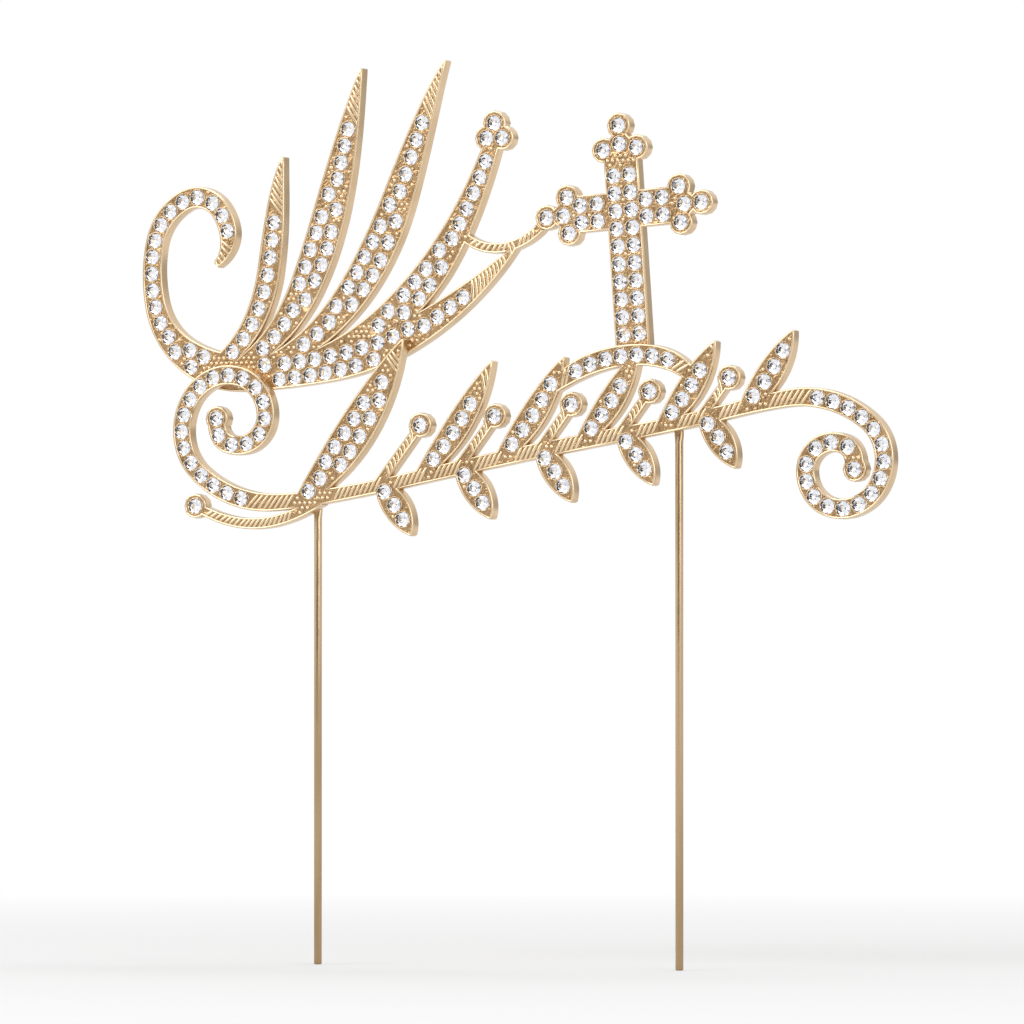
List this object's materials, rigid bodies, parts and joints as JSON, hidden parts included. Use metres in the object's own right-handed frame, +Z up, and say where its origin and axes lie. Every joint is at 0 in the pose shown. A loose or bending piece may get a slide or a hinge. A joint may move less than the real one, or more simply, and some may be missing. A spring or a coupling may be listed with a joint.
{
  "type": "cake topper",
  "caption": "Gold openwork cake topper with scrolls, plumes, a leafy branch and a budded cross, set with clear stones, on two wire stakes for pushing into a cake.",
  "frame": {"origin": "midway between the two stakes, on the cake's surface, in the plane of the stakes' axes", "axes": "+Z up along the stakes, +X to the right as seen from the front, and the stones face -Y"},
  "size_m": [0.1254, 0.0047, 0.1368],
  "materials": {
    "gold_casting": "pale gold plate, polished, with a cast texture",
    "gold_wire": "pale gold plate, drawn wire",
    "gold_solder": "solder under gold plate, smooth",
    "crystal": "clear, faceted, with a silvered point"
  },
  "bodies": {
    "root": {"ball_stones": "crystal", "berry_stones": "crystal", "branch_casting": "gold_casting", "bud_stem_stones": "crystal", "bud_stones": "crystal", "cross_arm_stones": "crystal", "cross_bud_stones": "crystal", "cross_casting": "gold_casting", "cross_joint_solder": "gold_solder", "cross_stem_stones": "crystal", "drop_stones": "crystal", "garland_stones": "crystal", "leaf_stones": "crystal", "left_stake": "gold_wire", "left_stake_solder": "gold_solder", "right_stake": "gold_wire", "right_stake_solder": "gold_solder", "scroll_plume_stones": "crystal", "small_plume_stones": "crystal", "spray_casting": "gold_casting", "spray_joint_solder": "gold_solder", "tall_leaf_stones": "crystal", "tall_plume_stones": "crystal", "volute_stones": "crystal"}
  },
  "joints": []
}
